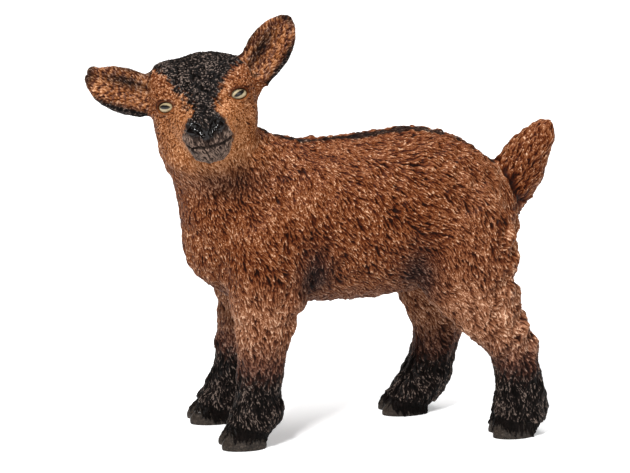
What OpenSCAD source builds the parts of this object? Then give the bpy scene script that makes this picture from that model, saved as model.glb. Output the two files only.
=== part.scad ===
// Moulded goat kid figurine, standing, with its head turned to its left.
// The kid faces -X, its left side is -Y, and its soles stand on z = 0.
// Each moulding meets the next on a flat seam, located by a round peg in a bore.

/* [Trunk] */
// Length from the point of the chest to the rump
trunk_length = 38; // [30:0.5:48]
// Width across the ribs
trunk_width = 15.6; // [13:0.2:19]
// Depth from back to belly
trunk_depth = 18.4; // [15:0.2:22]
// Height of the middle of the trunk above the ground
trunk_height = 24.7; // [21:0.1:30]

/* [Neck] */
// Width across the neck at its seam
neck_width = 10.4; // [8.6:0.2:12.6]
// Height of the head's middle above the middle of the trunk
neck_rise = 13.9; // [11.5:0.1:17]
// Height of the neck seam above the middle of the trunk
neck_seam_rise = 7.9; // [6.5:0.1:9]
// Slope of the neck seam, down towards the kid's left, where the throat is
neck_seam_tilt = 16; // [10:1:22]
// Slope of the neck seam, down towards the chest
neck_seam_lean = 29; // [26:1:34]

/* [Head] */
// Length from the back of the skull to the nose
head_length = 14.2; // [11.8:0.1:17.1]
// Width across the cheeks
head_width = 11; // [9.1:0.1:13.3]
// Height from the crown to the jaw
head_height = 10.2; // [8.5:0.1:12.3]
// Turn of the head from straight ahead towards the kid's left
head_turn = 79; // [60:1:95]
// Drop of the nose below level
head_drop = 5; // [0:1:15]
// Roll of the head, left side up
head_roll = 11; // [0:1:18]

/* [Ears] */
// Length of an ear from its root to its tip
ear_length = 7.6; // [6.3:0.1:9.2]
// Width across an ear
ear_width = 5; // [4.2:0.1:6]
// Thickness of an ear
ear_thickness = 1.5; // [1.2:0.1:1.9]
// Rise of the right ear above level
right_ear_rise = 26; // [15:1:45]
// Rise of the left ear above level
left_ear_rise = 47; // [35:1:60]

/* [Eyes] */
// Diameter of an eye
eye_diameter = 2; // [1.6:0.1:2.4]
// Length of the eye's shank inside the head
eye_shank = 1.6; // [1.2:0.1:2]

/* [Legs] */
// Width across a leg at the fetlock
leg_width = 5.2; // [4.3:0.1:6.3]
// Height of the front leg seams above the ground
front_seam_height = 14; // [12.5:0.1:14.6]
// Height of the hind leg seams above the ground
hind_seam_height = 14; // [12.5:0.1:14.6]
// Distance between the middles of the front legs
front_stance = 10.2; // [9.2:0.1:11.6]
// Distance between the middles of the hind hooves
hind_stance = 12.8; // [11.4:0.1:14]
// Stride of the right front hoof ahead of the left one
front_stride = 2; // [0:0.1:3]
// Stride of the right hind hoof ahead of the left one
hind_stride = 10.6; // [6:0.1:11.4]
// Distance that the right hind hoof is set in under the trunk
hind_gather = 2.2; // [0:0.1:3]
// Width of the cleft between the two claws of a hoof
cleft_width = 0.5; // [0.3:0.1:0.8]
// Height of the cleft
cleft_height = 2; // [1.2:0.1:2.6]

/* [Tail] */
// Length of the tail from its seam to its tip
tail_length = 9.5; // [7.9:0.1:11.4]
// Breadth of the tail, seen from the side
tail_breadth = 5.3; // [4.4:0.1:6.4]
// Thickness of the tail from side to side
tail_thickness = 4.2; // [3.5:0.1:5.1]
// Lean of the tail back from upright
tail_lean = 36; // [20:1:50]

/* [Pegs] */
// Diameter of the neck peg
neck_peg_d = 4; // [3:0.1:5]
// Diameter of the leg pegs
leg_peg_d = 2.6; // [2:0.1:3.2]
// Diameter of the tail peg
tail_peg_d = 2; // [1.6:0.1:2.4]
// Diameter of the ear pegs
ear_peg_d = 1.2; // [1:0.1:1.5]
// Length of the neck peg
neck_peg_length = 4.5; // [3:0.1:5.4]
// Length of the leg pegs
leg_peg_length = 4; // [3:0.1:4.8]
// Length of the tail peg
tail_peg_length = 3.2; // [2.4:0.1:3.9]
// Length of the ear pegs
ear_peg_length = 1.8; // [1.4:0.1:2.2]
// Gap all round a peg in its bore, which the glue fills
peg_clearance = 0.05; // [0.03:0.01:0.1]
// Gap past the end of a peg
peg_end_gap = 0.3; // [0.2:0.1:0.6]

/* [Hidden] */

coat = [0.45, 0.22, 0.11];
dark_coat = [0.10, 0.07, 0.06];
eye_colour = [0.72, 0.62, 0.42];

trunk_sides = 36;
head_sides = 36;
leg_sides = 20;
ear_sides = 20;
far = 60;       // more than the figurine's largest size, for half-spaces
fine = 64;      // facets of a round peg or bore

// ---- swept skins -------------------------------------------------------

// Catmull-Rom point between p1 and p2
function spline(p0, p1, p2, p3, t) =
    0.5 * (2 * p1 + (p2 - p0) * t + (2 * p0 - 5 * p1 + 4 * p2 - p3) * t * t
        + (3 * p1 - p0 - 3 * p2 + p3) * t * t * t);

// Rows of a table with steps - 1 smooth rows added after each
function smooth(rows, steps) =
    let (last = len(rows) - 1)
    [
        for (i = [0 : last - 1], s = [0 : steps - 1])
            spline(rows[max(i - 1, 0)], rows[i], rows[i + 1], rows[min(i + 2, last)], s / steps),
        rows[last]
    ];

// Sine or cosine with its sides filled out (power under 1) or drawn in (power over 1)
function shaped(v, power) = sign(v) * pow(abs(v), power);

// A closed oval round c. a and b are its axes, a1 and a2 its reach along +a and -a, b1 and b2 along +b and -b
function oval(c, a, b, a1, a2, b1, b2, sides, power = 1) =
    [
        for (i = [0 : sides - 1])
            let (u = shaped(cos(360 * i / sides), power), v = shaped(sin(360 * i / sides), power))
            c + a * u * (u > 0 ? a1 : a2) + b * v * (v > 0 ? b1 : b2)
    ];

// A closed solid through a list of ovals, which follow each other along a x b
module skin(ovals) {
    n = len(ovals[0]);
    last = len(ovals) - 1;
    walls = [
        for (j = [0 : last - 1], i = [0 : n - 1])
            let (p = j * n + i, q = j * n + (i + 1) % n)
            each [[p, p + n, q + n], [p, q + n, q]]
    ];
    caps = [[for (i = [0 : n - 1]) i], [for (i = [n - 1 : -1 : 0]) last * n + i]];
    polyhedron([for (o = ovals) each o], concat(walls, caps), convexity = 8);
}

// ---- seams and pegs ----------------------------------------------------

// Everything on the +Z side of a seam that lies on the children's z = 0
module beyond() {
    translate([-far, -far, 0]) cube(2 * far);
}

// A peg that stands below its seam, sunk a little into its own moulding
module peg(d, length, root = 0.8) {
    translate([0, 0, -length]) cylinder(d = d, h = length + root, $fn = fine);
}

// The bore that takes a peg
module bore(d, length) {
    translate([0, 0, -length - peg_end_gap])
        cylinder(d = d + 2 * peg_clearance, h = length + peg_end_gap + 0.01, $fn = fine);
}

// ---- places ------------------------------------------------------------

chest_x = -0.438 * trunk_length;
rump_x = chest_x + trunk_length;
function trunk_x(share) = chest_x + share * trunk_length;

neck_x = trunk_x(0.11);
neck_y = -1.1;
head_at = [trunk_x(0.08), neck_y - 1.6, trunk_height + neck_rise];
neck_seam_at = [neck_x, neck_y, trunk_height + neck_seam_rise];

module at_neck_seam() {
    translate(neck_seam_at) rotate([neck_seam_tilt, -neck_seam_lean, 0]) children();
}

// The head's own frame: nose towards -Y, crown towards +Z, left cheek towards +X
module at_head() {
    translate(head_at) rotate([0, 0, head_turn - 90]) rotate([head_drop, 0, 0]) rotate([0, -head_roll, 0])
        children();
}

// ---- trunk and neck ----------------------------------------------------

// Each row: share of trunk_length from the chest, sideways offset, height above trunk_height,
// half width, reach towards the back, reach towards the belly, and lean of the section
neck_half = neck_width / 2;
rib_half = trunk_width / 2;
back = trunk_depth / 2;
trunk_rows = [
    [0.078, neck_y - 0.9, neck_seam_rise + 5.2, neck_half * 0.52, neck_half * 0.56, neck_half * 0.62, 88],
    [0.080, neck_y - 0.6, neck_seam_rise + 3.8, neck_half * 0.92, neck_half * 0.98, neck_half * 1.06, 84],
    [0.100, neck_y, neck_seam_rise + 0.9, neck_half, neck_half * 1.06, neck_half * 1.06, 72],
    [0.125, neck_y * 0.5, back * 0.66, neck_half * 1.08, neck_half * 1.28, neck_half * 1.07, 56],
    [0.158, neck_y * 0.2, back * 0.38, rib_half * 0.80, back * 0.86, back * 0.81, 43],
    [0.212, 0, back * 0.14, rib_half * 0.88, back * 0.98, back * 1.02, 31],
    [0.290, 0, back * 0.01, rib_half * 0.95, back * 0.98, back * 1.09, 18],
    [0.395, 0, 0, rib_half, back * 0.94, back * 1.04, 3],
    [0.550, 0, 0, rib_half * 1.02, back * 0.97, back * 1.04, 0],
    [0.710, 0, back * 0.03, rib_half * 1.0, back * 1.00, back * 0.98, 0],
    [0.840, 0, back * 0.03, rib_half * 0.90, back * 0.84, back * 0.88, 0],
    [0.925, 0, 0, rib_half * 0.74, back * 0.62, back * 0.78, 0],
    [0.985, 0, back * -0.02, rib_half * 0.50, back * 0.38, back * 0.54, 0],
    [1.010, 0, back * -0.02, rib_half * 0.12, back * 0.09, back * 0.12, 0]
];

module trunk_skin() {
    skin([
        for (r = smooth(trunk_rows, 3))
            oval([trunk_x(r[0]), r[1], trunk_height + r[2]], [0, 1, 0], [sin(r[6]), 0, cos(r[6])],
                r[3], r[3], r[4], r[5], trunk_sides)
    ]);
}

// ---- legs --------------------------------------------------------------

// Each row: height, shift ahead of the leg's own line, reach forward, reach back and half width, the last
// three as shares of half the leg's width
front_rows = [
    [0.00, 1.0, 1.02, 0.84, 0.86],
    [0.70, 1.1, 1.12, 0.90, 0.95],
    [1.70, 0.8, 1.08, 1.02, 0.98],
    [3.00, 0.4, 1.06, 1.04, 1.00],
    [5.20, 0.0, 0.98, 0.90, 0.90],
    [8.70, -0.1, 1.00, 0.98, 0.94],
    [11.0, 0.0, 1.08, 1.10, 1.02],
    [14.0, 0.0, 1.20, 1.30, 1.12],
    [17.5, 0.0, 1.50, 1.55, 1.22],
    [21.0, 0.0, 1.60, 1.60, 1.22],
    [24.5, 0.0, 1.40, 1.40, 1.06],
    [27.0, 0.0, 0.80, 0.80, 0.50]
];
hind_rows = [
    [0.00, 0.4, 0.98, 1.04, 0.90],
    [0.70, 0.4, 1.04, 1.20, 0.98],
    [1.90, 0.1, 0.96, 1.42, 1.02],
    [4.00, -0.3, 0.88, 1.38, 1.02],
    [7.20, -0.4, 0.84, 1.10, 0.92],
    [9.80, 0.0, 1.06, 1.04, 0.96],
    [12.6, 0.2, 1.66, 1.28, 1.14],
    [15.6, 0.4, 2.04, 1.74, 1.30],
    [20.0, 0.3, 2.04, 2.18, 1.38],
    [24.5, 0.2, 1.80, 1.96, 1.28],
    [28.0, 0.0, 1.10, 1.20, 0.80]
];

// The line that a leg's rows follow: x and y of its hoof, knee and top, and the heights of the last two
function leg_line(hoof, knee, knee_z, top, top_z, z) =
    let (low = min(z / knee_z, 1), high = max(0, min((z - knee_z) / (top_z - knee_z), 1)))
    z < knee_z ? hoof + (knee - hoof) * low : knee + (top - knee) * high;

module leg_skin(rows, hoof, knee, knee_z, top, top_z) {
    half = leg_width / 2;
    skin([
        for (r = smooth(rows, 2))
            let (p = leg_line(hoof, knee, knee_z, top, top_z, r[0]))
            oval([p[0] - r[1], p[1], r[0]], [1, 0, 0], [0, 1, 0],
                r[3] * half, r[2] * half, r[4] * half, r[4] * half, leg_sides, 0.92)
    ]);
}

front_x = trunk_x(0.235);
hind_x = trunk_x(0.835);
shoulder_y = rib_half - 2.9;
hip_y = rib_half - 3.0;
front_y = front_stance / 2;
hind_y = hind_stance / 2;
front_knee_z = 9;
hind_knee_z = 9.8;
front_top_z = 19;
hind_top_z = 18;
hind_left_x = rump_x - 0.9;
hind_left_knee_x = rump_x - 1.3;
front_left_x = front_x - 1.2;

// Each leg: rows, hoof, knee, height of the knee, top, height of the top, height of its seam
legs = [
    [front_rows, [front_left_x, -front_y], [front_x - 0.3, -front_y], front_knee_z,
        [front_x, -shoulder_y], front_top_z, front_seam_height],
    [front_rows, [front_left_x - front_stride, front_y], [front_x - 0.8, front_y], front_knee_z,
        [front_x, shoulder_y], front_top_z, front_seam_height],
    [hind_rows, [hind_left_x, -hind_y], [hind_left_knee_x, -hind_y + 0.2], hind_knee_z,
        [hind_x, -hip_y], hind_top_z, hind_seam_height],
    [hind_rows, [hind_left_x - hind_stride, hind_y - hind_gather],
        [hind_x - 1, hind_y - 0.2 - hind_gather * 0.7], hind_knee_z,
        [hind_x, hip_y], hind_top_z, hind_seam_height]
];

module leg_whole(leg) {
    leg_skin(leg[0], leg[1], leg[2], leg[3], leg[4], leg[5]);
}

module at_leg_seam(leg) {
    at = leg_line(leg[1], leg[2], leg[3], leg[4], leg[5], leg[6]);
    translate([at[0], at[1], leg[6]]) rotate([180, 0, 0]) children();
}

// The part of a leg that belongs to the torso
module leg_stump(leg) {
    intersection() {
        leg_whole(leg);
        translate([0, 0, leg[6]]) beyond();
    }
}

// The slot between the claws, open at the toe and the sole
module cleft(leg) {
    reach = leg_width * 0.62;
    translate([leg[1][0] - 0.4 - reach, leg[1][1] - cleft_width / 2, -1]) cube([reach, cleft_width, cleft_height + 1]);
}

module leg_moulding(leg) {
    color(dark_coat) difference() {
        union() {
            difference() {
                leg_whole(leg);
                translate([0, 0, leg[6]]) beyond();
            }
            at_leg_seam(leg) peg(leg_peg_d, leg_peg_length);
        }
        cleft(leg);
    }
}

// ---- tail --------------------------------------------------------------

tail_at = [rump_x - 1.7, 0, trunk_height + back * 0.12];
// Each row: share of tail_length from the seam, sideways shift, and half breadth and half thickness as
// shares of tail_breadth and tail_thickness
tail_rows = [
    [-0.30, 0.10, 0.42, 0.46],
    [0.00, 0.10, 0.54, 0.50],
    [0.25, 0.06, 0.56, 0.52],
    [0.50, 0.02, 0.50, 0.47],
    [0.72, 0.00, 0.38, 0.38],
    [0.88, 0.00, 0.25, 0.27],
    [0.97, 0.00, 0.12, 0.14],
    [1.00, 0.00, 0.03, 0.03]
];

module at_tail_seam() {
    translate(tail_at) rotate([0, tail_lean, 0]) translate([0, 0, 1.2]) children();
}

module tail_skin() {
    skin([
        for (r = smooth(tail_rows, 3))
            oval([r[1] * tail_breadth, 0, r[0] * tail_length], [1, 0, 0], [0, 1, 0],
                r[2] * tail_breadth, r[2] * tail_breadth, r[3] * tail_thickness, r[3] * tail_thickness, leg_sides)
    ]);
}

module tail_blade() {
    intersection() {
        tail_skin();
        beyond();
    }
}

module tail() {
    color(coat) at_tail_seam() {
        tail_blade();
        peg(tail_peg_d, tail_peg_length);
    }
}

// ---- head --------------------------------------------------------------

// Each row: share of head_length from the middle of the skull towards the nose, height of the section's
// middle, half width as a share of head_width, reach up and reach down. Heights are shares of head_height
head_rows = [
    [-0.410, 0.02, 0.06, 0.06, 0.06],
    [-0.370, 0.02, 0.27, 0.27, 0.27],
    [-0.270, 0.02, 0.42, 0.42, 0.42],
    [-0.140, 0.02, 0.495, 0.49, 0.49],
    [0.000, 0.00, 0.500, 0.49, 0.49],
    [0.090, 0.00, 0.465, 0.43, 0.48],
    [0.180, -0.05, 0.400, 0.38, 0.42],
    [0.280, -0.12, 0.330, 0.34, 0.34],
    [0.380, -0.17, 0.270, 0.31, 0.27],
    [0.480, -0.18, 0.240, 0.27, 0.24],
    [0.545, -0.18, 0.200, 0.21, 0.19],
    [0.580, -0.18, 0.130, 0.13, 0.12],
    [0.590, -0.18, 0.030, 0.03, 0.03]
];

module head_skin() {
    skin([
        for (r = smooth(head_rows, 2))
            oval([0, -r[0] * head_length, r[1] * head_height], [1, 0, 0], [0, 0, 1],
                r[2] * head_width, r[2] * head_width, r[3] * head_height, r[4] * head_height, head_sides, 0.92)
    ]);
}

// ---- ears --------------------------------------------------------------

// Each row: share of ear_length from the seam, half width as a share of ear_width, half thickness as a
// share of ear_thickness, and forward bend of the edges as a share of ear_width
ear_rows = [
    [-0.40, 0.42, 0.95, 0.00],
    [-0.20, 0.42, 0.90, 0.00],
    [0.00, 0.40, 0.85, 0.04],
    [0.14, 0.43, 0.66, 0.12],
    [0.32, 0.48, 0.52, 0.20],
    [0.50, 0.48, 0.46, 0.21],
    [0.68, 0.42, 0.42, 0.17],
    [0.83, 0.32, 0.38, 0.10],
    [0.94, 0.19, 0.30, 0.04],
    [1.00, 0.05, 0.12, 0.00]
];

// Each ear: side, 1 for the left one and -1 for the right one, and rise
ears = [[1, left_ear_rise], [-1, right_ear_rise]];

// z runs along the ear and -y is its hollow side
module at_ear_seam(side, rise) {
    translate([side * head_width * 0.43, head_length * 0.10, head_height * 0.09])
        rotate([-12, 0, 0]) rotate([0, side * (90 - rise), 0]) translate([0, 0, 1.1]) children();
}

module ear_skin() {
    skin([
        for (r = smooth(ear_rows, 3))
            [
                for (p = oval([0, 0, r[0] * ear_length], [1, 0, 0], [0, 1, 0], r[1] * ear_width,
                    r[1] * ear_width, r[2] * ear_thickness, r[2] * ear_thickness, ear_sides))
                    let (edge = p[0] / (r[1] * ear_width))
                    p - [0, r[3] * ear_width * edge * edge, 0]
            ]
    ]);
}

module ear_root() {
    difference() {
        ear_skin();
        beyond();
    }
}

module ear_blade() {
    intersection() {
        ear_skin();
        beyond();
    }
}

module ear(side, rise) {
    color(coat) at_head() at_ear_seam(side, rise) {
        ear_blade();
        peg(ear_peg_d, ear_peg_length);
    }
}

// ---- eyes --------------------------------------------------------------

// z points out of the eye
module at_eye(side) {
    translate([side * head_width * 0.365, -head_length * 0.165, head_height * 0.135])
        rotate([90, 0, side * 40]) rotate([-14, 0, 0]) children();
}

module eye(side) {
    dome = eye_diameter * 0.30;
    radius = (eye_diameter * eye_diameter / 4 + dome * dome) / (2 * dome);
    color(eye_colour) at_head() at_eye(side) {
        translate([0, 0, -eye_shank]) cylinder(d = eye_diameter, h = eye_shank, $fn = fine);
        intersection() {
            translate([0, 0, dome - radius]) sphere(r = radius, $fn = fine);
            translate([0, 0, -0.05]) cylinder(d = eye_diameter, h = 2 * dome, $fn = fine);
        }
    }
}

module eye_socket(side) {
    at_eye(side) translate([0, 0, -eye_shank - peg_clearance])
        cylinder(d = eye_diameter + 2 * peg_clearance, h = eye_shank + 3, $fn = fine);
}

// ---- mouldings ---------------------------------------------------------

// The kid moved sideways by middle_y, so that its overall width is centred on y = 0
middle_y = 1.3;
module centred() {
    translate([0, middle_y, 0]) children();
}

module torso() {
    color(coat) difference() {
        union() {
            difference() {
                trunk_skin();
                at_neck_seam() beyond();
            }
            for (leg = legs) leg_stump(leg);
            at_tail_seam() difference() {
                tail_skin();
                beyond();
            }
        }
        at_neck_seam() bore(neck_peg_d, neck_peg_length);
        at_tail_seam() {
            tail_blade();
            bore(tail_peg_d, tail_peg_length);
        }
        for (leg = legs) at_leg_seam(leg) bore(leg_peg_d, leg_peg_length);
    }
}

module head() {
    color(coat) difference() {
        union() {
            intersection() {
                trunk_skin();
                at_neck_seam() beyond();
            }
            difference() {
                at_head() head_skin();
                at_neck_seam() mirror([0, 0, 1]) beyond();
            }
            for (e = ears) at_head() at_ear_seam(e[0], e[1]) ear_root();
            at_neck_seam() peg(neck_peg_d, neck_peg_length);
        }
        at_head() {
            for (e = ears) at_ear_seam(e[0], e[1]) {
                ear_blade();
                bore(ear_peg_d, ear_peg_length);
            }
            eye_socket(1);
            eye_socket(-1);
        }
    }
}

centred() torso();
centred() head();
centred() ear(ears[0][0], ears[0][1]);  // left_ear
centred() ear(ears[1][0], ears[1][1]);  // right_ear
centred() eye(1);  // left_eye
centred() eye(-1);  // right_eye
centred() leg_moulding(legs[0]);  // front_left_leg
centred() leg_moulding(legs[1]);  // front_right_leg
centred() leg_moulding(legs[2]);  // hind_left_leg
centred() leg_moulding(legs[3]);  // hind_right_leg
centred() tail();
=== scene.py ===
import math

import bmesh
import bpy
import numpy as np
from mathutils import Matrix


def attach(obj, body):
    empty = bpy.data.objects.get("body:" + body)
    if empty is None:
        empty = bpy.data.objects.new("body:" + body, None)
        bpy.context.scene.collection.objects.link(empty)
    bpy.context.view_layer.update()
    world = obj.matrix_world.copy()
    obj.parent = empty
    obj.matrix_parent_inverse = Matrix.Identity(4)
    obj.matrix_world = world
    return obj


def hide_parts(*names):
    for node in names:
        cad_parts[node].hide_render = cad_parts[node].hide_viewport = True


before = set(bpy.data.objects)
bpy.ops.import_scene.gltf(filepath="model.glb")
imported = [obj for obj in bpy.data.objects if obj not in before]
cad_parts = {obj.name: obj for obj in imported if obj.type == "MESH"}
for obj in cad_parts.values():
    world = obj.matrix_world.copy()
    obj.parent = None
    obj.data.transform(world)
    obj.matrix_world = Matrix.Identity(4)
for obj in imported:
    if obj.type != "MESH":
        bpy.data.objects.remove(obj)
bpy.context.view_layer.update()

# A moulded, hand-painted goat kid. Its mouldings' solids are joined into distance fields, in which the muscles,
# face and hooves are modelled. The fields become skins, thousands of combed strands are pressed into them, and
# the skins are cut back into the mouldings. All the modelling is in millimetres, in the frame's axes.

import openvdb as vdb
from mathutils import Vector
from mathutils.bvhtree import BVHTree

MM = 0.001
LEGS = ["front_left_leg", "front_right_leg", "hind_left_leg", "hind_right_leg"]
EARS = ["left_ear", "right_ear"]
EYES = ["left_eye", "right_eye"]
MOULDINGS = ["torso", "head", "tail"] + LEGS + EARS

# Sizes of the cells of the two distance fields, and how far distances are kept from the surface
BODY_CELL = 0.10
HEAD_CELL = 0.085
REACH = 1.6


# ---- numbers and vectors

def unit(v):
    """Vectors at length 1."""
    v = np.asarray(v, float)
    return v / np.maximum(np.linalg.norm(v, axis=-1, keepdims=True), 1e-9)


def dot(a, b):
    return np.sum(a * b, axis=-1)


def ramp(x, low, high):
    """0 at low, 1 at high and smooth in between; low may be the larger."""
    t = np.clip((x - low) / (high - low), 0, 1)
    return t * t * (3 - 2 * t)


def mix(a, b, w):
    """a where w is 0 and b where it is 1."""
    return a + (b - a) * w


def ripple(p, size, seed):
    """Smooth noise from about -1 to 1 with waves of about that size."""
    rng = np.random.default_rng(seed)
    total = 0
    for _ in range(7):
        wave = unit(rng.normal(size=3)) * (2 * math.pi / size) * rng.uniform(0.7, 1.5)
        total = total + np.sin(p @ wave + rng.uniform(0, 2 * math.pi))
    return total / 2.6


def perpendicular(v, n):
    """v with its part along n taken away, at unit length."""
    return unit(v - n * dot(v, n)[..., None])


# ---- meshes and the frame's solids

def pulled(items, what, kind=np.int32, width=1):
    """One property of every item of a mesh."""
    values = np.empty(len(items) * width, kind)
    items.foreach_get(what, values)
    return values if width == 1 else values.reshape(-1, width)


def note_on(mesh, name, values):
    """Stores a number on each of a mesh's points, for the paint to read."""
    data = np.asarray(values, np.float32)
    mesh.attributes.new(name, "FLOAT", "POINT").data.foreach_set("value", data)


def new_mesh(name, points, corners, starts):
    """A mesh from points in mm, all polygons' corners in a row, and where each polygon's corners start."""
    mesh = bpy.data.meshes.new(name)
    mesh.vertices.add(len(points))
    mesh.vertices.foreach_set("co", (points * MM).astype(np.float32).ravel())
    mesh.loops.add(len(corners))
    mesh.loops.foreach_set("vertex_index", corners.astype(np.int32))
    mesh.polygons.add(len(starts) - 1)
    mesh.polygons.foreach_set("loop_start", starts[:-1].astype(np.int32))
    mesh.update(calc_edges=True)
    return mesh


def linked(name, data):
    """A new object in the scene."""
    item = bpy.data.objects.new(name, data)
    bpy.context.collection.objects.link(item)
    return item


def finish_piece(node, mesh, material):
    """The object of a finished mesh, in place of a CAD node."""
    mesh.materials.append(material)
    piece = linked(mesh.name, mesh)
    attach(piece, "root")
    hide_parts(node)


def node_mesh(name):
    """A CAD node's vertices in mm and its triangles."""
    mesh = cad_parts[name].data
    mesh.calc_loop_triangles()
    return pulled(mesh.vertices, "co", np.float32, 3) / MM, pulled(mesh.loop_triangles, "vertices", width=3)


SOLIDS = {name: node_mesh(name) for name in MOULDINGS + EYES}


def flat_face(name, toward=None):
    """Middle and outward normal of the node's largest flat face, of those that look toward a direction."""
    points, triangles = SOLIDS[name]
    a, b, c = (points[triangles[:, i]].astype(float) for i in range(3))
    cross = np.cross(b - a, c - a)
    area = np.linalg.norm(cross, axis=1) / 2
    normal = unit(cross)
    keys = np.round(np.c_[normal, dot(normal, a)], 2)
    if toward is not None:
        area = np.where(normal @ np.asarray(toward, float) > 0.5, area, 0)
    _, group = np.unique(keys, axis=0, return_inverse=True)
    group = group.ravel()
    best = group == np.argmax(np.bincount(group, weights=area))
    middle = np.average((a + b + c)[best] / 3, axis=0, weights=area[best])
    return middle, unit(np.average(normal[best], axis=0, weights=area[best]))


def middle_of(name):
    """The middle of a solid's box."""
    return SOLIDS[name][0].min(0) / 2 + SOLIDS[name][0].max(0) / 2


# The head's own frame: SIDE towards the kid's left cheek, NOSE ahead and CROWN up
HEAD_DROP = math.radians(5)
EYES_AHEAD = 2.0
EYES_ABOVE = 1.25
SIDE = unit(middle_of("left_eye") - middle_of("right_eye"))
level_back = unit(np.cross([0, 0, 1], SIDE))
NOSE = -(level_back * math.cos(HEAD_DROP) + np.cross(SIDE, level_back) * math.sin(HEAD_DROP))
CROWN = np.cross(NOSE, SIDE)
SKULL = (middle_of("left_eye") + middle_of("right_eye")) / 2 - NOSE * EYES_AHEAD - CROWN * EYES_ABOVE
MIDLINE = 0.2


def on_head(side, ahead, up):
    """A point given in the head's own frame, in the row frame."""
    return SKULL + SIDE * side + NOSE * ahead + CROWN * up


def head_place(p):
    """How far points lie to the head's left, ahead and up from the skull's middle."""
    q = p - SKULL
    return q @ SIDE, q @ NOSE, q @ CROWN


class Blade:
    """An ear's or the tail's own frame: root, axis towards the tip, face and edge."""

    def __init__(self, name, facing):
        self.root, inward = flat_face(name)
        self.axis = -inward
        points = SOLIDS[name][0].astype(float)
        self.length = np.max((points - self.root) @ self.axis)
        blade = points[(points - self.root) @ self.axis > 0.5]
        flat = blade - np.outer((blade - self.root) @ self.axis, self.axis) - self.root
        _, _, rows = np.linalg.svd(flat - flat.mean(0), full_matrices=False)
        self.edge = unit(rows[0] - self.axis * (rows[0] @ self.axis))
        self.face = unit(np.cross(self.axis, self.edge))
        if self.face @ facing < 0:
            self.face, self.edge = -self.face, -self.edge
        self.middle = flat.mean(0)
        self.breadth = np.ptp(flat @ self.edge)

    def at(self, share):
        """The middle of the blade at a share of its length."""
        return self.root + self.middle + self.axis * self.length * share

    def place(self, p):
        """Shares of the length along and of half the breadth across, and mm out of the face."""
        q = p - self.root
        return (q @ self.axis) / self.length, (q - self.middle) @ self.edge / (self.breadth / 2), \
            (q - self.middle) @ self.face


ear = {name: Blade(name, NOSE) for name in EARS}
tail = Blade("tail", np.array([0, -1, 0]))


# ---- distance fields

def joined(count, rows):
    """Numbers things alike where rows of them link them, directly or through others."""
    label = np.arange(count)
    while True:
        low = label[rows].min(1)
        new = label.copy()
        for column in rows.T:
            np.minimum.at(new, label[column], low)
        new = new[new]
        if np.array_equal(new, label):
            return label
        label = new


def merged(a, b, blend):
    """The nearer of two distances, with the crease between them filled over about that width."""
    w = np.clip(0.5 + 0.5 * (a - b) / blend, 0, 1)
    return mix(a, b, w) - blend * w * (1 - w)


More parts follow.
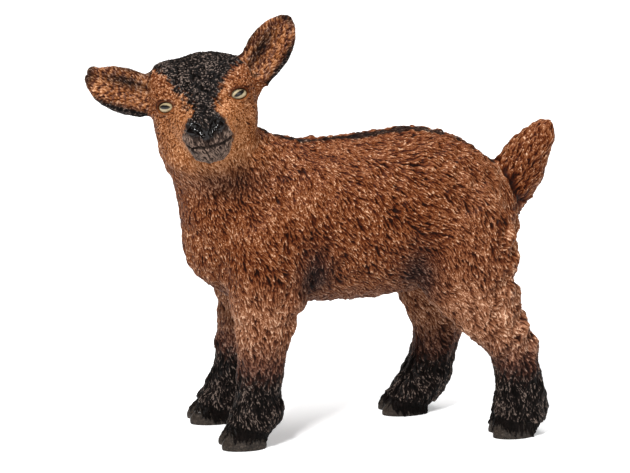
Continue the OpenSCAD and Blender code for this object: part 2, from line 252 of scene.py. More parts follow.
class Field:
    """Distances to the surface on a grid of cells, negative inside."""

    def __init__(self, low, high, cell):
        self.cell = cell
        self.start = np.floor(low / cell).astype(int)
        size = np.ceil(high / cell).astype(int) - self.start + 1
        self.d = np.full(size, REACH, np.float32)

    def add_solid(self, name, blend=0):
        points, triangles = SOLIDS[name]
        step = vdb.createLinearTransform(self.cell)
        level = vdb.FloatGrid.createLevelSetFromPolygons(
            points, triangles=triangles.astype(np.uint32), transform=step, halfWidth=REACH / self.cell)
        solid = np.empty(self.d.shape, np.float32)
        level.copyToArray(solid, ijk=tuple(int(i) for i in self.start))
        self.d = merged(solid, self.d, blend) if blend else np.minimum(self.d, solid)

    def soften(self, size):
        """Rounds edges and fills creases smaller than about that size."""
        count = max(1, int(math.ceil(2.2 * size / self.cell)))
        weights = np.exp(-0.5 * (np.arange(-count, count + 1) * self.cell / size) ** 2)
        weights = (weights / weights.sum()).astype(np.float32)
        for axis in range(3):
            d = np.moveaxis(self.d, axis, 0)
            padded = np.pad(d, ((count, count), (0, 0), (0, 0)), mode="edge")
            d = sum(w * padded[i:i + len(d)] for i, w in enumerate(weights))
            self.d = np.ascontiguousarray(np.moveaxis(d, 0, axis))

    def blob(self, middle, radii, axes=np.eye(3), blend=0.5, carve=False):
        """Adds or carves an ellipsoid whose three axes are the rows of axes."""
        radii = np.broadcast_to(radii, 3)
        reach = radii.max() + blend + 0.6
        low = np.clip(np.floor((middle - reach) / self.cell).astype(int) - self.start, 0, self.d.shape)
        high = np.clip(np.ceil((middle + reach) / self.cell).astype(int) - self.start + 1, 0, self.d.shape)
        if np.any(high <= low):
            return
        part = tuple(slice(a, b) for a, b in zip(low, high))
        grid = np.stack(np.meshgrid(*[np.arange(a, b) for a, b in zip(low, high)], indexing="ij"), -1)
        q = ((grid + self.start) * self.cell - middle) @ axes.T
        k0 = np.linalg.norm(q / radii, axis=-1)
        k1 = np.linalg.norm(q / radii ** 2, axis=-1)
        d = np.where(k1 > 1e-6, k0 * (k0 - 1) / np.maximum(k1, 1e-6), -radii.min())
        sign = -1 if carve else 1
        self.d[part] = sign * merged(d, sign * self.d[part], blend)

    def sample(self, p):
        """Distances at points, between the cells by straight lines."""
        q = np.asarray(p, float) / self.cell - self.start
        q = np.clip(q, 0, np.array(self.d.shape) - 1.001)
        i = q.astype(int)
        w = q - i
        flat = self.d.ravel()
        ny, nz = self.d.shape[1:]
        base = (i[:, 0] * ny + i[:, 1]) * nz + i[:, 2]
        total = 0
        for dx, dy, dz in np.ndindex(2, 2, 2):
            share = (w[:, 0] if dx else 1 - w[:, 0]) * (w[:, 1] if dy else 1 - w[:, 1]) \
                * (w[:, 2] if dz else 1 - w[:, 2])
            total = total + share * flat[base + (dx * ny + dy) * nz + dz]
        return total

    def normal(self, p, step=1.3):
        """Unit slopes of the distance at points, measured over that many cells to each side."""
        h = self.cell * step
        return unit(np.stack([self.sample(p + e) - self.sample(p - e) for e in np.eye(3) * h], -1))

    def strike(self, start, direction, depth=9.0):
        """Where a ray from a point outside first meets the surface."""
        p = start + np.outer(np.arange(0, depth, self.cell * 0.5), direction)
        p = p[[np.argmax(self.sample(p) < 0)]]
        for _ in range(2):
            p = p - self.normal(p) * self.sample(p)[:, None]
        return p[0]

    def skin(self):
        """The surface as vertices and quads, without the closed voids inside."""
        grid = vdb.FloatGrid(REACH)
        grid.copyFromArray(np.ascontiguousarray(self.d), ijk=(0, 0, 0), tolerance=0.0)
        points, quads = grid.convertToQuads(isovalue=0.0)
        points = (points.astype(float) + self.start) * self.cell
        quads = quads.astype(np.int64)
        label = joined(len(points), quads)
        keep = label == np.argmax(np.bincount(label))
        quads = (np.cumsum(keep) - 1)[quads[keep[quads[:, 0]]]]
        points = points[keep]
        a, b, c = (points[quads[:, i]] for i in range(3))
        outward = dot(np.cross(b - a, c - a), self.normal((a + c) / 2))
        if np.median(outward) < 0:
            quads = quads[:, ::-1]
        return points, quads


# ---- modelling

MIDDLE_Y = middle_of("torso")[1]


def leg_slice(name, z):
    """Middle and half sizes of a leg at a height."""
    points = SOLIDS[name][0]
    near = points[np.abs(points[:, 2] - z) < 0.9]
    low, high = near.min(0), near.max(0)
    return (low + high) / 2, (high - low) / 2


def each_side(*at):
    """The same point on the kid's left and right."""
    x, y, z = at
    return [np.array([x, MIDDLE_Y + side * y, z]) for side in (-1, 1)]


# The trunk's forms on both sides: middle, radii, blend, and whether it is a hollow
TRUNK_FORMS = (
    ((-7.2, 6.1, 21.5), (4.0, 1.9, 5.2), 1.4, False),
    ((-4.9, 5.6, 16.9), (1.7, 1.7, 1.9), 1.0, False),
    ((-1.2, 8.6, 18.6), (1.4, 0.9, 3.4), 1.2, True),
    ((16.4, 6.2, 20.4), (3.7, 2.0, 6.0), 1.4, False),
    ((10.3, 8.4, 18.8), (1.7, 1.0, 3.8), 1.3, True),
)


def model_trunk(field):
    """Muscles of shoulder and thigh, and the hollows at elbow and groin."""
    for middle, radii, blend, hollow in TRUNK_FORMS:
        for p in each_side(*middle):
            field.blob(p, radii, blend=blend, carve=hollow)
    field.blob(np.array([-12.4, MIDDLE_Y - 0.4, 21.6]), (3.0, 3.2, 3.4), blend=1.5)


# Heights of the hairlines round the hooves
HOOF_TOPS = dict(zip(LEGS, (2.5, 2.0, 2.1, 1.7)))


def hoof_top(name, p):
    """Height of the hairline round a hoof: high at the toe and low at the heel."""
    middle, half = leg_slice(name, 0.8)
    return HOOF_TOPS[name] - 0.55 * (p[:, 0] - middle[0]) / half[0] + 0.12 * ripple(p, 0.9, 6)


def model_leg(field, name):
    """Joints, tufts and the cloven hoof."""
    front = name.startswith("front")
    side = -1 if "left" in name else 1
    knee, half = leg_slice(name, 8.9)
    if front:
        field.blob(knee - [half[0] * 0.45, 0, 0], (1.5, half[1] * 0.85, 1.9), blend=0.7)
        elbow, arm = leg_slice(name, 13.2)
        field.blob(elbow + [arm[0] * 0.85, side * 0.3, 0.6], (0.8, 1.3, 1.2), blend=0.8)
    else:
        field.blob(knee + [half[0] * 0.55, 0, 0.9], (1.3, 1.35, 1.5), blend=0.9)
        for rise, out in ((3.4, -1.3), (7.0, -2.4), (10.6, -2.7)):
            field.blob(knee + [half[0] * 0.6 + out, -side * 0.4, rise], (1.1, 2.0, 1.2), blend=0.9)
    tuft, reach = leg_slice(name, 4.4)
    behind = {"hind_left_leg": 0.5, "hind_right_leg": 0.3}.get(name, 0.72)
    field.blob(tuft + [reach[0] * behind, 0, -0.4], (1.1, 1.5, 2.2), blend=0.6)
    hoof, foot = leg_slice(name, 0.8)
    for claw in (-1, 1):
        length = foot[0] * (0.93 if front else 0.84)
        field.blob(hoof + [-foot[0] * 0.1, claw * foot[1] * 0.44, -0.5], (length, foot[1] * 0.56, 1.8), blend=0.3)
    field.blob(hoof + [-foot[0] * 0.95, 0, 0.2], (1.6, 0.28, 2.2), blend=0.15, carve=True)


def head_axes(turn, tilt):
    """Rows: across, ahead and up, turned about up and then tilted about ahead."""
    a, b = math.radians(turn), math.radians(tilt)
    across = SIDE * math.cos(a) + NOSE * math.sin(a)
    ahead = NOSE * math.cos(a) - SIDE * math.sin(a)
    return np.array([across * math.cos(b) + CROWN * math.sin(b), ahead,
                     CROWN * math.cos(b) - across * math.sin(b)])


NOSTRIL_DEPTH = 0.12


def on_nose(field, side, up):
    """The point of the muzzle's skin that is so far left of its middle and so far up, seen from ahead."""
    return field.strike(on_head(MIDLINE + side, 11, up), -NOSE)


def model_face(field):
    """Brow, cheeks, crown, muzzle, nostrils and mouth."""
    straight = head_axes(0, 0)
    for side in (-1, 1):
        def place(s, f, t):
            return on_head(MIDLINE + side * s, f, t)
        field.blob(place(3.1, -0.9, 2.3), (2.3, 2.4, 1.9), straight, blend=1.0)
        field.blob(place(3.2, 1.2, 2.0), (1.7, 1.5, 1.0), head_axes(side * -20, side * -20), blend=0.8)
        field.blob(place(3.25 - 0.15 * side, 0.6, -2.4), (1.85, 2.4, 2.2), straight, blend=1.2)
        field.blob(place(2.5, 5.7, 1.3), (0.6, 1.5, 0.6), head_axes(side * -25, 0), blend=0.8, carve=True)
        field.blob(place(1.2, 7.0, -1.75), (1.35, 1.15, 0.85), head_axes(side * -25, 0), blend=0.4)
    for middle, radii, blend in (((-0.6, 0.6, -4.9), (3.9, 3.2, 2.6), 2.0),
                                 ((-4.3, -0.7, 2.0), (1.7, 3.0, 2.5), 1.0),
                                 ((-3.5, -1.0, 3.5), (1.9, 2.4, 1.4), 1.0),
                                 ((-4.7, -0.4, -0.7), (1.3, 2.4, 2.3), 1.0),
                                 ((MIDLINE, 6.3, -3.5), (1.7, 1.6, 1.2), 0.6),
                                 ((MIDLINE, 7.1, -0.45), (1.85, 1.15, 0.95), 0.4)):
        field.blob(on_head(*middle), radii, straight, blend=blend)
    for side in (-1, 1):
        wing = on_nose(field, side * 1.75, -0.45)
        field.blob(wing, (0.4, 0.5, 0.8), head_axes(side * -45, side * 20), blend=0.3)
        nostril = ((0.42, -0.9, 0.2), (0.62, -0.55, 0.3), (0.9, -0.2, 0.42), (1.25, 0.0, 0.5), (1.6, 0.05, 0.4))
        comma = [on_nose(field, side * a, b) for a, b, _ in nostril]
        for p, (_, _, size) in zip(comma, nostril):
            field.blob(p - NOSE * NOSTRIL_DEPTH, size, blend=0.15, carve=True)
    mouth = [on_nose(field, s, lip_line(MIDLINE + s)) for s in np.linspace(-2.5, 2.5, 45)]
    cleft = [on_nose(field, 0, t) for t in np.linspace(-1.15, -2.3, 9)]
    for line, size in ((mouth, 0.2), (cleft, 0.12)):
        for p in line:
            field.blob(p, size, blend=0.1, carve=True)


class Socket:
    """An eye's place: its middle at the lids, the direction it looks in, and its own across and up."""

    def __init__(self, name):
        back, inward = flat_face(name)
        points = SOLIDS[name][0]
        self.out = -inward
        self.middle = back + self.out * (np.max((points - back) @ self.out) - 0.42) - CROWN * 0.3 - SIDE * 0.12
        self.across = perpendicular(SIDE, self.out)
        self.up = np.cross(self.out, self.across)


# Half the width and height of the opening between the lids
EYE_WIDTH = 1.08
EYE_HEIGHT = 0.56
socket = {name: Socket(name) for name in EYES}


def model_lids(field):
    """The opening of each eye and the rim round it."""
    for at in socket.values():
        axes = np.array([at.across, at.up, at.out])
        field.blob(at.middle - at.out * 0.45, (1.5, 1.15, 0.7), axes, blend=0.35)
        field.blob(at.middle + at.out * 0.1, (EYE_WIDTH, EYE_HEIGHT, 0.7), axes, blend=0.12, carve=True)
        for turn in np.linspace(0, 2 * math.pi, 40, endpoint=False):
            rim = at.across * math.cos(turn) * (EYE_WIDTH + 0.16) + at.up * math.sin(turn) * (EYE_HEIGHT + 0.14)
            thick = 0.15 + 0.05 * max(0, math.sin(turn))
            field.blob(at.middle + rim - at.out * 0.1 * math.cos(turn) ** 2, thick, blend=0.15)


def model_ears(field):
    """The ears with their hollows, and the right one's turned lower edge."""
    for name, blade in ear.items():
        field.add_solid(name, blend=0.9)
        axes = np.array([blade.axis, blade.edge, blade.face])
        for share, size in ((0.18, 0.75), (0.38, 1.0), (0.58, 0.85)):
            field.blob(blade.at(share) + blade.face * 0.75, (1.5, 1.25 * size, 0.62), axes, blend=0.5, carve=True)
        if name == "right_ear":
            low = blade.edge * -np.sign(blade.edge @ CROWN) * blade.breadth / 2
            for tenths, out in enumerate((0.68, 0.74, 0.78, 0.78, 0.74, 0.66, 0.52), start=1):
                field.blob(blade.at(tenths / 10) + low * out, (1.0, 0.75, 0.5), axes, blend=0.5)
            field.blob(blade.at(0.9) - low * 0.35, (0.75, 0.7, 0.42), axes, blend=0.3)


def whole_field(around, cell):
    """The solids as one modelled field, in the box round some points."""
    field = Field(np.min(around, axis=0), np.max(around, axis=0), cell)
    for name in ["torso", "head", "tail"] + LEGS:
        field.add_solid(name)
    field.soften(0.5)
    model_trunk(field)
    for name in LEGS:
        model_leg(field, name)
    model_face(field)
    model_ears(field)
    model_lids(field)
    return field


# ---- coat: which strands grow where, and which way they lie

# Each kind of coat: gap between strands, and a strand's length, half width, height and waviness
COATS = {
    "trunk": (0.33, 1.5, 0.12, 0.23, 0.3),
    "neck": (0.29, 1.1, 0.105, 0.18, 0.35),
    "face": (0.22, 0.55, 0.085, 0.11, 0.6),
    "crown": (0.28, 0.6, 0.125, 0.24, 1.6),
    "muzzle": (0.20, 0.3, 0.08, 0.025, 0.6),
    "leg": (0.33, 1.6, 0.135, 0.26, 0.35),
    "fetlock": (0.31, 1.7, 0.145, 0.34, 0.3),
    "tuft": (0.40, 1.5, 0.18, 0.42, 0.5),
    "tail": (0.32, 1.4, 0.125, 0.21, 0.3),
    "ear": (0.26, 0.9, 0.10, 0.16, 0.35),
}
KINDS = list(COATS)
BARE = -1
STEPS = 16


# How far the skin sinks before the strands are raised on it
SINK = 0.12

# A point of the neck's seam, and the way up from it
neck_middle, neck_down = flat_face("head", (0, 0, -1))
NECK_SEAM = neck_middle, -neck_down


def neck_side(p):
    """How far points lie above the neck's seam."""
    return (p - NECK_SEAM[0]) @ NECK_SEAM[1]


def from_skull(p):
    """How far points lie from the skull's middle."""
    return np.linalg.norm(p - SKULL, axis=1)


def near_head(p):
    """1 on the head and 0 beyond it."""
    return ramp(from_skull(p), 10.5, 9.5)


def black_wedge(p):
    """1 on the black crown and the wedge down to the nose, 0 elsewhere on the head, and between at their edge."""
    side, ahead, up = head_place(p)
    across = np.abs(side - MIDLINE) - 0.6 * ramp(side, -0.8, -3.0)
    half = np.interp(ahead, [-6, -1, 0.4, 1.8, 3.2, 5.0, 6.0, 6.8], [5.6, 5.2, 4.1, 3.0, 2.1, 1.3, 1.2, 1.7])
    edge = ripple(p, 0.9, 11) * 0.25 + ripple(p, 0.4, 12) * 0.15
    lift = 1.2 * ramp(ahead, 2, 0) - 0.9
    top = ramp(across - half + edge, 0.35, -0.35) * ramp(up - edge, lift, lift + 1.0)
    return top * near_head(p)


def dark_muzzle(p):
    """1 on the dark lips, chin and sides of the muzzle, fading into the coat round them."""
    side, ahead, up = head_place(p)
    across = np.abs(side - MIDLINE)
    edge = ripple(p, 0.7, 13) * 0.25 + ripple(p, 0.35, 14) * 0.2
    rim = 6.1 + 0.5 * ramp(up, -1.0, 0.8) + 0.2 * across
    muzzle = ramp(ahead + edge, rim - 0.5, rim + 0.6) * ramp(across, 3.3, 2.8)
    chin = ramp(ahead + edge, 5.2, 6.3) * ramp(up, -2.2, -2.8) * ramp(across, 2.4, 1.7)
    return np.maximum(muzzle, chin) * near_head(p)


def nose_pad(p):
    """1 on the bare black skin of the nose and round the nostrils, fading at its edge."""
    side, ahead, up = head_place(p)
    across = np.abs(side - MIDLINE)
    nostril = np.hypot((across - 1.25) / 1.0, (up + 0.2 - 0.2 * (across - 1.25)) / 0.7)
    tip = np.hypot(across / 0.75, (up + 0.85) / 0.6)
    far = np.minimum(nostril, tip)
    return ramp(far + 0.08 * ripple(p, 0.8, 15), 1.2, 0.85) * ramp(ahead, 6.2, 6.8) * near_head(p)


def lip_line(side):
    """Height of the mouth so far to the left."""
    return -2.3 + 0.3 * ((side - MIDLINE) / 2.4) ** 2


def mouth_crease(p):
    """1 along the mouth, 0 beside it."""
    side, ahead, up = head_place(p)
    return ramp(np.abs(up - lip_line(side)), 0.26, 0.08) * ramp(np.abs(side - MIDLINE), 2.7, 2.4) \
        * ramp(ahead, 5.6, 6.0) * near_head(p)


def lid_place(p, at):
    """Distances from an eye's middle as shares of the lids' reach."""
    q = p - at.middle
    return np.sqrt((q @ at.across / (EYE_WIDTH + 0.2)) ** 2 + (q @ at.up / (EYE_HEIGHT + 0.2)) ** 2
                   + (q @ at.out / 1.3) ** 2)


def bare_skin(p):
    """1 on the nose pad, the mouth's crease and the rims of the eyelids, 0 on the coat."""
    lids = [ramp(lid_place(p, at), 1.12, 1.0) for at in socket.values()]
    return np.maximum.reduce([nose_pad(p), mouth_crease(p)] + lids)


def coat_kinds(p, owner):
    """The kind of coat at each point of a skin, as an index into KINDS."""
    x, z = p[:, 0], p[:, 2]
    owners = np.array(MOULDINGS)[owner]
    on_leg = np.isin(owners, LEGS)
    head = (owners == "head") & (from_skull(p) < 7.6) & (head_place(p)[2] > -5.0)
    kind = np.full(len(p), KINDS.index("trunk"))
    for name, here in (
            ("neck", neck_side(p) > -5.5 + ripple(p, 4, 3)),
            ("leg", (on_leg | ((owners == "torso") & (z < 16.5 + ripple(p, 3, 4)))) & (z < 17)),
            ("fetlock", on_leg & (z < 4.6 + 0.5 * ripple(p, 2, 5))),
            ("tuft", (x > 18.4 + 0.6 * ripple(p, 3, 7)) & (z > 11) & (z < 25) & (owners != "tail")),
            ("tail", owners == "tail"),
            ("face", head),
            ("crown", head & (black_wedge(p) > 0.5)),
            ("muzzle", head & (dark_muzzle(p) > 0.5)),
            ("ear", np.isin(owners, EARS))):
        kind[here] = KINDS.index(name)
    kind[(bare_skin(p) > 0.5) | (horn_of(p, owner) > 0.5)] = BARE
    return kind


def horn_of(p, owner):
    """1 on the hooves, 0 above their hairlines."""
    horn = np.zeros(len(p))
    for name in LEGS:
        mine = owner == MOULDINGS.index(name)
        horn[mine] = ramp(p[mine, 2] - hoof_top(name, p[mine]), 0.08, -0.08)
    return horn


def combed(p, n, kind):
    """Which way the strands lie at points with normals n, before they are bent by their waves."""
    def where(*names):
        return np.isin(kind, [KINDS.index(name) for name in names])

    def lie(way, here, new):
        return np.where(here[:, None], new, way)

    x, z = p[:, 0], p[:, 2]
    drop = 0.42 + 0.55 * ramp(z, 34, 27) + 0.25 * ramp(x, 1, -9) * ramp(z, 33, 27) \
        - 0.4 * np.exp(-((x - 10.5) / 3) ** 2) + 0.3 * ramp(x, 13, 18) + 0.2 * ripple(p, 6, 21)
    way = np.stack([np.cos(drop), 0.12 * ripple(p, 9, 22), -np.sin(drop)], -1)
    back = 0.15 + 0.65 * ramp(x, 4, 8) * ramp(z, 6, 11) + 0.3 * ripple(p, 4, 23)
    down = np.stack([back, 0.25 * ripple(p, 3, 24), -np.ones(len(p))], -1)
    way = lie(way, where("leg", "fetlock"), down)
    curls = np.stack([0.7 + 0.5 * ripple(p, 2.5, 32), 0.7 * ripple(p, 2.5, 33), -1 + 0.6 * ripple(p, 2.5, 34)], -1)
    way = lie(way, where("tuft"), curls)
    outward = 0.3 * ripple(p, 5, 26) + 0.1 * np.sign(p[:, 1] - MIDDLE_Y)
    throat = np.stack([0.45 + 0.3 * ripple(p, 5, 25), outward, -np.ones(len(p))], -1)
    on_neck = ramp(neck_side(p), -10.5, -2.5) * where("trunk", "neck")
    way = mix(unit(way), unit(throat), on_neck[:, None])
    side, _, up = head_place(p)
    from_nose = unit(p - on_head(MIDLINE, 6.8, 0.9))
    sweep = from_nose - CROWN * 0.75 * ramp(up, 2.0, -2.5)[:, None] \
        + SIDE * (0.35 * np.sign(side - MIDLINE) * ramp(np.abs(side - MIDLINE), 0.3, 2))[:, None]
    way = lie(way, where("face", "muzzle"), sweep)
    curly = from_nose + np.stack([ripple(p, 1.6, s) for s in (27, 28, 29)], -1) * 0.8
    way = lie(way, where("crown"), curly)
    for blade in ear.values():
        along, across, _ = blade.place(p)
        lobe = blade.axis + blade.edge * (0.75 * across * ramp(along, 0, 0.5))[:, None]
        way = lie(way, where("ear") & (np.linalg.norm(p - blade.root, axis=1) < blade.length * 1.15), lobe)
    across = tail.place(p)[1]
    way = lie(way, where("tail"), tail.axis + tail.edge * (0.5 * across)[:, None])
    return perpendicular(way, n)


def roots_on(points, kind, rng):
    """Vertices picked at random, about a gap apart, for each kind of coat."""
    picked = []
    for i, name in enumerate(KINDS):
        mine = rng.permutation(np.flatnonzero(kind == i))
        cells = np.floor(points[mine] / COATS[name][0]).astype(int)
        _, first = np.unique(cells, axis=0, return_index=True)
        picked.append(mine[first])
    return np.concatenate(picked)


def grow(field, roots, kind, rng):
    """Samples along every strand: place, half width, height and the strand's number."""
    sizes = np.array([COATS[name] for name in KINDS])[kind]
    count = len(roots)
    length = sizes[:, 1] * rng.uniform(0.6, 1.3, count)
    width = sizes[:, 2] * rng.uniform(0.75, 1.2, count)
    height = sizes[:, 3] * rng.uniform(0.55, 1.15, count)
    phase = rng.uniform(0, 2 * math.pi, count)
    turns = rng.uniform(0.5, 1.3, count) * 2 * math.pi
    lean = rng.normal(0, 0.13, count) + 0.5 * sizes[:, 4] * ripple(roots, 2.4, 31)
    p = roots
    samples = []
    for step in range(STEPS + 1):
        t = step / STEPS
        n = field.normal(p, 2)
        way = combed(p, n, kind)
        bend = lean + sizes[:, 4] * np.sin(phase + turns * t)
        way = way * np.cos(bend)[:, None] + np.cross(n, way) * np.sin(bend)[:, None]
        tip = math.sqrt(max(0.0, 1 - max(0.0, (t - 0.8) / 0.2) ** 2))
        samples.append((p, width * (0.45 + 0.75 * math.sin(math.pi * min(1, t + 0.12)) ** 0.8) * (0.55 + 0.45 * tip),
                        height * (0.25 + 0.75 * t ** 0.7) * (0.35 + 0.65 * tip), np.arange(count)))
        p = p + way * (length / STEPS)[:, None]
        p = p - n * field.sample(p)[:, None]
    return [np.concatenate(parts) for parts in zip(*samples)]


def press(points, places, widths, heights, strands):
    """The height of the relief at each point, and the strand that stands highest there."""
    cell = widths.max()
    low = np.minimum(points.min(0), places.min(0)) - 2 * cell
    size = np.ceil((np.maximum(points.max(0), places.max(0)) + 2 * cell - low) / cell).astype(np.int64)

    def key(c):
        return (c[:, 0] * size[1] + c[:, 1]) * size[2] + c[:, 2]

    cells = np.floor((points - low) / cell).astype(np.int64)
    order = np.argsort(key(cells), kind="stable")
    keys = key(cells)[order]
    home = np.floor((places - low) / cell).astype(np.int64)
    # One whole number holds a height in hundred-thousandths of a mm and, below it, its strand's number
    packed = np.zeros(len(points), np.int64)
    fine, room = 1e5, 1 << 24
    for dx, dy in np.ndindex(3, 3):
        first = np.searchsorted(keys, key(home + [dx - 1, dy - 1, -1]), "left")
        last = np.searchsorted(keys, key(home + [dx - 1, dy - 1, 1]), "right")
        counts = last - first
        sample = np.repeat(np.arange(len(places)), counts)
        offset = np.arange(counts.sum()) - np.repeat(np.cumsum(counts) - counts, counts)
        vertex = order[first[sample] + offset]
        far = np.linalg.norm(points[vertex] - places[sample], axis=1) / widths[sample]
        close = far < 1
        vertex, sample, far = vertex[close], sample[close], far[close]
        rise = heights[sample] * np.sqrt(1 - far * far)
        np.maximum.at(packed, vertex, (rise * fine).astype(np.int64) * room + strands[sample])
    return packed // room / fine, packed % room


# ---- paint: where each colour lies

def spot(p, middle, radii):
    """A soft round patch: 1 at its middle, falling off over its radii."""
    return np.exp(-np.sum(((p - middle) / radii) ** 2, axis=1))


# Heights up to which the legs are black
BLACK_TOPS = dict(zip(LEGS, (8.6, 8.8, 8.0, 7.2)))


def paint_masks(p, n, owner):
    """Shares of each paint, painted shade among them, and of gloss at each point of a skin."""
    owners = np.array(MOULDINGS)[owner]
    grain = ripple(p, 0.8, 41) * 0.5 + ripple(p, 0.35, 42) * 0.35
    x, y, z = p.T
    black = black_wedge(p)
    broad = 0.6 + 0.35 * ramp(x, -1, 4) * ramp(x, 15, 11)
    stripe = ramp(np.abs(y - MIDDLE_Y) + 0.25 * grain, broad + 0.25, broad - 0.25) * ramp(n[:, 2], 0.4, 0.6) \
        * ramp(x, -9.5, -6) * (owners == "torso")
    black = np.maximum(black, stripe * 0.9)
    # Plum airbrush above the black legs and on the ears, and painted shade where noted below.
    plum_and_shade = np.zeros(len(p))
    for name, top in BLACK_TOPS.items():
        near = leg_slice(name, top)[0]
        mine = (owners == name) | ((owners == "torso") & (z < 17) & (np.abs(x - near[0]) < 5)
                                   & ((y - MIDDLE_Y) * (near[1] - MIDDLE_Y) > 0))
        black = np.where(mine, np.maximum(black, ramp(z + 0.9 * grain, top + 1.4, top - 1.6)), black)
        plum_and_shade = np.where(mine, np.maximum(plum_and_shade, 0.85 * ramp(z + grain, top + 5.0, top + 0.2)), plum_and_shade)
    # Painted shade: plum and near-black patches in the hollows at the elbows and groins.
    for middle, shade_size, black_shade_size in (((-2.2, 7.0, 18.8), (2.2, 3.5, 4.0), (1.5, 3.0, 2.9)),
                                          ((9.3, 7.2, 18.6), (2.3, 3.5, 3.8), (1.6, 3.0, 2.7))):
        for at in each_side(*middle):
            plum_and_shade = np.maximum(plum_and_shade, spot(p, at, shade_size))
            black = np.maximum(black, 0.7 * spot(p, at, black_shade_size))
    # Painted shadow on the throat under the jaw.
    throat = on_head(0, 1.5, -8.2)
    plum_and_shade = np.maximum(plum_and_shade, 0.75 * spot(p, throat, (5.5, 6, 2.0)))
    # Painted shade: darker plum where the skin faces down.
    plum_and_shade = np.maximum(plum_and_shade, 0.6 * ramp(n[:, 2], -0.55, -0.9))
    ochre = 0.95 * spot(p, on_head(0, 4.5, -2.4), (5.6, 4.6, 4.8)) * (1 - black)
    for at in socket.values():
        lid = ramp(lid_place(p, at), 1.35, 1.1)
        lower = ramp((p - at.middle) @ at.up, 0.05, -0.25)
        black = np.maximum(black, 0.35 * lid * (1 - lower))
        ochre = np.where(lid > 0.5, 0.35 * lower, ochre)
    for name, blade in ear.items():
        along, across, _ = blade.place(p)
        mine = owners == name
        high = np.sign(blade.edge @ CROWN)
        rim = ramp(np.abs(across) + 0.08 * grain, 0.72, 1.0) + ramp(along + 0.05 * grain, 0.84, 0.98)
        low_rim = ramp(-across * high + 0.1 * grain, 0.5, 0.9)
        streak = spot(np.c_[along, across], (0.42, 0.34 * high), (0.34, 0.3)) * (n @ blade.face > 0.1)
        black = np.where(mine, np.clip(0.8 * rim + 0.9 * low_rim + 0.95 * streak, 0, 1), black)
        ochre = np.where(mine, 0.45 * (n @ blade.face > 0.2) * ramp(grain, -0.5, 0.3), ochre)
        plum_and_shade = np.where(mine, 0.6 * ramp(grain, 0.3, -0.3), plum_and_shade)
    pad = nose_pad(p)
    black = np.maximum.reduce([black, pad, 0.7 * mouth_crease(p)])
    tan = 0.8 * ramp(z + grain, 22, 13) + 0.25 * ramp(x, 10, 16) * ramp(z, 34, 26)
    tan = np.where(np.isin(owners, ["torso"] + LEGS), np.clip(tan, 0, 1), 0)
    return {"black": black, "plum_and_shade": plum_and_shade, "ochre": ochre, "tan": tan, "gloss": pad, "muzzle": dark_muzzle(p)}


# ---- skins

def nearest_owner(points, names):
    """The index in MOULDINGS of the CAD solid that each point is nearest to."""
    vertices, triangles, owner = [], [], []
    for name in names:
        corners, faces = SOLIDS[name]
        triangles += (faces + len(vertices)).tolist()
        vertices += corners.tolist()
        owner += [MOULDINGS.index(name)] * len(faces)
    tree = BVHTree.FromPolygons(vertices, triangles)
    return np.array([owner[tree.find_nearest(p)[2]] for p in points.tolist()])


